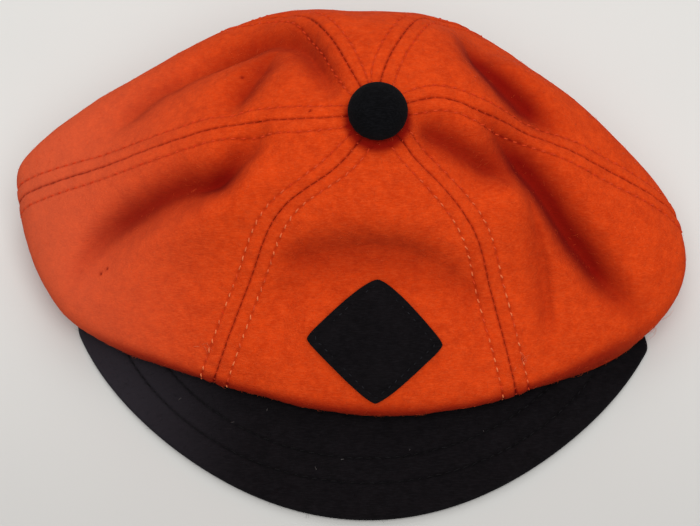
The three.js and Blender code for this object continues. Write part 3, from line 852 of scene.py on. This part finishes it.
def brim_sheet(share, out, side):
    """One face of the brim, side 1 for the top and 0 for the underside. Its section rises
    towards the sewn edge with the power BRIM_SLOPE and is rounded at the outer edge, and
    the stitch rows sink into it."""
    sewn, edge = brim_lines(share)
    plan = sewn[:, None] + (edge - sewn)[:, None] * out[None, :, None]
    thickness = brim_thickness(share)[:, None]
    lift = BRIM_LIFT * brim_swell(share)[:, None] * (1 - out) ** BRIM_SLOPE
    from_edge = np.linalg.norm(edge - sewn, axis=1)[:, None] * (1 - out)
    rounding = np.sqrt(np.clip(1 - (1 - np.clip(from_edge / BRIM_EDGE, 0, 1)) ** 2, 0.02, 1))
    half = thickness / 2 * rounding
    middle = lift + thickness / 2
    inside, groove, _ = brim_grooves(plan)
    body = np.dstack([plan, np.zeros(plan.shape[:2])])
    swell = 0.10 * np.sin(np.pi * np.clip((inside - BRIM_ROWS[0]) / (BRIM_ROWS[1] - BRIM_ROWS[0]), 0, 1))
    uneven = ripple(body, 24, 0.12, 71) + ripple(body, 8, 0.04, 72)
    if side:
        height = middle + half - groove + swell * rounding + uneven * smooth(from_edge / 3)
    else:
        height = middle - half + groove * 0.6 * smooth(lift / 0.6)
    return np.dstack([plan, height])


black_felt = wool_felt("brim_felt", wool=(0.0068, 0.0054, 0.0064, 1), worn=(0.0044, 0.0036, 0.0043, 1),
                       shade_and_mottle=(0.001, 0.0008, 0.001, 1), fluff=(0.014, 0.0125, 0.0145, 1), fluff_share=0.35,
                       faded=(0.028, 0.024, 0.03, 1), sheen=0.015, sheen_colour=(0.75, 0.78, 0.9, 1))

share = np.linspace(0, 1, 301)
out = np.concatenate([np.linspace(0, 0.955, 56), 1 - 0.045 * np.cos(np.linspace(0, np.pi / 2, 9))[1:]])
top = brim_sheet(share, out, 1)
points, faces = closed_sheet(top, brim_sheet(share, out, 0))
# Painted pale haze of light on the brim's left end, and painted shade in its stitch grooves
looks = {"faded": 0.9 * smooth((-25 - points[:, 0]) / 60), "painted_shade": brim_grooves(points[:, :2])[2]}
shell = make_piece("brim_shell", points, faces, black_felt, "brim_felt", looks)
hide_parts("brim")

black_cotton = cotton("black_cotton", colour=(0.005, 0.0045, 0.0052, 1), dark=(0.002, 0.002, 0.002, 1),
                      light=(0.014, 0.013, 0.015, 1), faded=(0.2, 0.18, 0.18, 1))


def brim_row(row):
    """Even places, normals and directions on the brim's top at one distance inside its
    circle: where the straight lines from the sewn edge to the outer edge meet that smaller
    circle, by the quadratic formula."""
    fine = np.linspace(0.0, 1.0, 2001)
    sewn, edge = brim_lines(fine)
    start, reach = sewn - BRIM_CENTRE, edge - sewn
    square = (reach**2).sum(axis=1)
    half = (start * reach).sum(axis=1)
    rest = (start**2).sum(axis=1) - (BRIM_RADIUS - row) ** 2
    out = (-half + np.sqrt(np.maximum(half * half - square * rest, 0))) / square
    lift = BRIM_LIFT * brim_swell(fine) * (1 - np.clip(out, 0, 1)) ** BRIM_SLOPE
    line = np.column_stack([sewn + reach * out[:, None], lift + brim_thickness(fine)])
    line = line[out * np.sqrt(square) > HEM_THICKNESS + 0.6]
    along = brim_angle(line[:, :2]) * (BRIM_RADIUS - row)
    first = BRIM_PITCH * np.ceil(along[0] / BRIM_PITCH)
    return even_places((line, np.broadcast_to(UP, line.shape), along), BRIM_PITCH, first, along[-1])


rows = []
for number, row in enumerate(BRIM_ROWS):
    rows.append(stitches(*brim_row(row), length=2.2, radius=0.19, rise=0.02, skew=0.08, seed=300 + number))
make_piece("brim_stitching", *joined(rows), black_cotton, "brim_felt")

# Its felt is fluffy too, and a little pale lint has settled on it
BRIM_LINT = ((-10.2, -72.2), (-2.7, -69), (-25.6, -53.6), (-35.3, -57), (18, -66), (41, -60), (-52, -49))

open_top = top[:, 6:]
ups = np.broadcast_to(UP, open_top.shape)
tuft = scattered(open_top, ups, BRIM_FIBRES, length=1.3, rise=0.45, chance=chance)
make_piece("brim_fluff", *tuft, black_cotton, "brim_felt")
near = [np.hypot(top[..., 0] - x, top[..., 1] - y).argmin() for x, y in BRIM_LINT]
spots = top.reshape(-1, 3)[near] + 0.1 * UP
lint = fibres(spots, np.broadcast_to(UP, spots.shape), 0.8, LINT_RADIUS, rise=0.3, chance=chance)
make_piece("brim_lint", *lint, black_cotton, "brim_felt", {"faded": 1.0})


# The button is a domed metal form covered in black felt, whose edge is gathered under it.
# Its shank is sewn through the meeting point of the six seams and holds it down hard on
# the felt.

BUTTON_HEIGHT = 8.6
BUTTON_EDGE = 2.6
BUTTON_TURN = 1.7
BUTTON_LEAN = 13.0
BUTTON_GAP = 0.5
SHANK_RADIUS = 1.1
SHANK_LENGTH = 4.2
BUTTON_SIDES = 120
PLEATS = 17
FINE_PLEATS = 31


def turned_body(profile, sides):
    """Points and faces of a profile of radius and height turned round the upright axis.
    Its first and last points lie on the axis."""
    angle = 2 * np.pi * np.arange(sides) / sides
    radius, height = profile[1:-1, 0], profile[1:-1, 1]
    body = np.stack([radius[:, None] * np.cos(angle), radius[:, None] * np.sin(angle),
                     height[:, None] * np.ones(sides)], axis=-1)
    index = np.arange(body.shape[0] * sides).reshape(-1, sides)
    ahead = np.roll(index, -1, axis=1)
    walls = np.stack([index[:-1], ahead[:-1], ahead[1:], index[1:]], axis=-1).reshape(-1, 4)
    foot, top = index.size, index.size + 1
    under = np.stack([np.full(sides, foot), ahead[0], index[0]], axis=-1)
    over = np.stack([np.full(sides, top), index[-1], ahead[-1]], axis=-1)
    poles = [[0, 0, profile[0, 1]], [0, 0, profile[-1, 1]]]
    return np.concatenate([body.reshape(-1, 3), poles]), [walls, under, over]


def button_profile():
    """Shank, flat back, rounded turn of the gathered edge and a dome of elliptic section."""
    shank = [[0, -SHANK_LENGTH], [SHANK_RADIUS * 0.8, -SHANK_LENGTH], [SHANK_RADIUS, -SHANK_LENGTH + 0.4],
             [SHANK_RADIUS, -0.2], [SHANK_RADIUS + 0.3, 0]]
    back = [[radius, 0] for radius in np.linspace(2.6, BUTTON_RADIUS - 1.9, 8)]
    turn = np.linspace(-np.pi / 2, 0, 10)[1:]
    edge = [[BUTTON_RADIUS - BUTTON_TURN + BUTTON_TURN * np.cos(a), BUTTON_EDGE + BUTTON_EDGE * np.sin(a)]
            for a in turn]
    rise = np.linspace(0, np.pi / 2, 36)[1:]
    over = BUTTON_HEIGHT - BUTTON_EDGE
    dome = [[BUTTON_RADIUS * np.cos(a), BUTTON_EDGE + over * np.sin(a)] for a in rise]
    profile = np.array(shank + back + edge + dome)
    profile[-1, 0] = 0
    return profile


points, faces = turned_body(button_profile(), BUTTON_SIDES)
angle = np.arctan2(points[:, 1], points[:, 0])
low = smooth((BUTTON_EDGE + 1.6 - points[:, 2]) / 2.6) * (np.hypot(points[:, 0], points[:, 1]) > 3)
pleats = np.sin(PLEATS * angle + 1.5 * np.sin(3 * angle)) * 0.5 + np.sin(FINE_PLEATS * angle + 0.7) * 0.25
points[:, :2] *= (1 + 0.010 * low * pleats)[:, None]
points[:, 2] += ripple(points, 9, 0.12, 81) * smooth(points[:, 2] / 2)
lean = np.radians(BUTTON_LEAN)
tilt = np.array([[1, 0, 0], [0, np.cos(lean), -np.sin(lean)], [0, np.sin(lean), np.cos(lean)]])
seat = APEX + [0, -BUTTON_GAP * np.sin(lean), BUTTON_GAP]
points = points @ tilt.T + seat
button_felt = wool_felt("button_felt", wool=(0.0034, 0.0034, 0.0042, 1), worn=(0.0024, 0.0024, 0.003, 1),
                        shade_and_mottle=(0.0015, 0.0015, 0.0015, 1), fluff=(0.010, 0.010, 0.012, 1), fluff_share=0.5,
                        sheen=0.012, sheen_colour=(0.8, 0.82, 0.9, 1))
button = make_piece("covered_button", points, faces, button_felt, "button_felt")
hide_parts("top_button")


# The patch is a plain diamond cut from black felt and sewn on the front panel with one
# row of dark grey thread close to its raw edge, which it draws down a little.

PATCH_HALF_WIDTH = 21.0
PATCH_HALF_HEIGHT = 23.0
PATCH_THICKNESS = 1.4
PATCH_CUT = 0.75
PATCH_GAP = 0.35
PATCH_TURN = 271.0
PATCH_DOWN = 0.715
PATCH_ROW = 2.5
PATCH_PITCH = 2.6
PATCH_GROOVE = (0.2, 0.25, 0.6)
PATCH_INSET = PATCH_HALF_WIDTH * PATCH_HALF_HEIGHT / np.hypot(PATCH_HALF_WIDTH, PATCH_HALF_HEIGHT)


def patch_places(left, right):
    """Turn and down of places on the patch, given as shares from -1 to 1 across it
    between its two pairs of parallel edges."""
    step = 0.03
    ends = crown_loft(PATCH_TURN, np.array([PATCH_DOWN - step, PATCH_DOWN + step]))
    down_rate = np.linalg.norm(ends[1] - ends[0]) / (2 * step)
    across = PATCH_HALF_WIDTH * (right - left) / 2
    up = -PATCH_HALF_HEIGHT * (right + left) / 2
    down = PATCH_DOWN - up / down_rate
    sides = crown_loft(PATCH_TURN + np.array([[[-2.0]], [[2.0]]]), down)
    turn_rate = np.linalg.norm(sides[1] - sides[0], axis=-1) / 4
    return PATCH_TURN + across / turn_rate, down


shares = np.sin(np.linspace(-np.pi / 2, np.pi / 2, 91)) * 0.35 + np.linspace(-1, 1, 91) * 0.65
left, right = np.meshgrid(shares, shares, indexing="ij")
corner = 1 - 0.05 * (left * right) ** 8
turn, down = patch_places(left * corner, right * corner)
face, normal, _ = crown_sheet(turn, down)
from_edge = PATCH_INSET * np.minimum(1 - np.abs(left), 1 - np.abs(right))
rounding = np.sqrt(np.clip(1 - (1 - np.clip(from_edge / 0.5, 0, 1)) ** 2, 0, 1))
along = PATCH_INSET * np.where(np.abs(left) > np.abs(right), right, left)
groove = stitched(PATCH_GROOVE, from_edge - PATCH_ROW, wave(along, PATCH_PITCH) ** 2)
height = PATCH_GAP + PATCH_CUT + (PATCH_THICKNESS - PATCH_CUT) * rounding - groove + ripple(face, 7, 0.07, 91)
top = face + normal * height[..., None]
points, faces = closed_sheet(top, face + normal * PATCH_GAP)
patch = make_piece("diamond_patch", points, faces, black_felt, "patch_felt")
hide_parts("patch")

grey_cotton = cotton("grey_cotton", colour=(0.010, 0.010, 0.012, 1), dark=(0.004, 0.004, 0.005, 1),
                     light=(0.035, 0.035, 0.042, 1), sheen=0.05)
inset = 1 - PATCH_ROW / PATCH_INSET
run = np.linspace(-inset, inset, 81)
back = run[::-1][1:]
side = np.full(80, inset)
ring_left = np.concatenate([run, side, back, -side])
ring_right = np.concatenate([[-inset], -side, run[1:], side, back])
beside = np.array([[0.995], [1.0], [1.005]])
turn, down = patch_places(ring_left * beside, ring_right * beside)
face, normal, _ = crown_sheet(turn, down)
line = face[1] + normal[1] * (PATCH_GAP + PATCH_THICKNESS - 0.3)
along = lengths_along(line, 0)
places, normals, ways = even_places((line, normal[1], along), PATCH_PITCH, PATCH_PITCH / 2, along[-1])
thread = stitches(places, normals, ways, length=1.5, radius=0.16, rise=0.04, skew=0.1, seed=401)
make_piece("patch_stitching", *thread, grey_cotton, "patch_felt")


# The cap lies on a plain pale table under two broad soft lights, one behind it and one in
# front, and the room's own light. The camera looks down on its front at 62 degrees.

CAMERA_DISTANCE = 0.6
CAMERA_ELEVATION = 62.0
IMAGE_WIDTH = 700
FOCAL_PIXELS = 1870
TABLE_REACH = 3
TABLE_DROP = 0.0001
LIGHT_COLOUR = (1.0, 0.985, 0.96)
ROOM_COLOUR = (0.98, 0.98, 1.0, 1)
ROOM_STRENGTH = 0.37

table = bpy.data.meshes.new("table")
corners = [(x * TABLE_REACH, y * TABLE_REACH, -TABLE_DROP) for x, y in ((-1, -1), (1, -1), (1, 1), (-1, 1))]
table.from_pydata(corners, [], [(0, 1, 2, 3)])
table_top = add_object("table", table)
tabletop = Finish("tabletop", roughness=0.6, specular=0.2)
shade = tabletop.mix(tabletop.noise(0.05, detail=3) * 0.5, (0.73, 0.73, 0.712, 1), (0.69, 0.69, 0.672, 1))
# Painted shade: the table is darker in front
depth = tabletop.node("ShaderNodeSeparateXYZ", None, {0: tabletop.place()}, output=1)
tabletop.colour(tabletop.mix((1 - depth.between(-0.12, 0.05)) * 0.5, shade, (0.40, 0.395, 0.385, 1)))
table.materials.append(tabletop.material)


def soft_light(name, size, power, place):
    """A square area light at a place, facing the origin."""
    data = bpy.data.lights.new(name, "AREA")
    data.size = size
    data.energy = power
    data.color = LIGHT_COLOUR
    light = add_object(name, data)
    light.location = place
    light.rotation_euler = Vector(place).to_track_quat("Z", "Y").to_euler()


soft_light("ceiling", size=1.4, power=8.5, place=(0.0, 1.2, 1.3))
soft_light("front", size=1.6, power=21.2, place=(0.1, -0.6, 1.55))

room = bpy.data.worlds.new("room")
room.use_nodes = True
background = room.node_tree.nodes["Background"]
background.inputs["Color"].default_value = ROOM_COLOUR
background.inputs["Strength"].default_value = ROOM_STRENGTH
bpy.context.scene.world = room

camera_data = bpy.data.cameras.new("camera")
camera_data.sensor_width = 36
camera_data.lens = FOCAL_PIXELS / IMAGE_WIDTH * camera_data.sensor_width
camera_data.clip_start = 0.01
camera = add_object("camera", camera_data)
elevation = np.radians(CAMERA_ELEVATION)
target = -PLAN_MIDDLE * MILLIMETRE
camera.location = target + CAMERA_DISTANCE * np.array([0, -np.cos(elevation), np.sin(elevation)])
camera.rotation_euler = (np.pi / 2 - elevation, 0, 0)
bpy.context.scene.camera = camera
bpy.context.scene.view_settings.view_transform = "Standard"
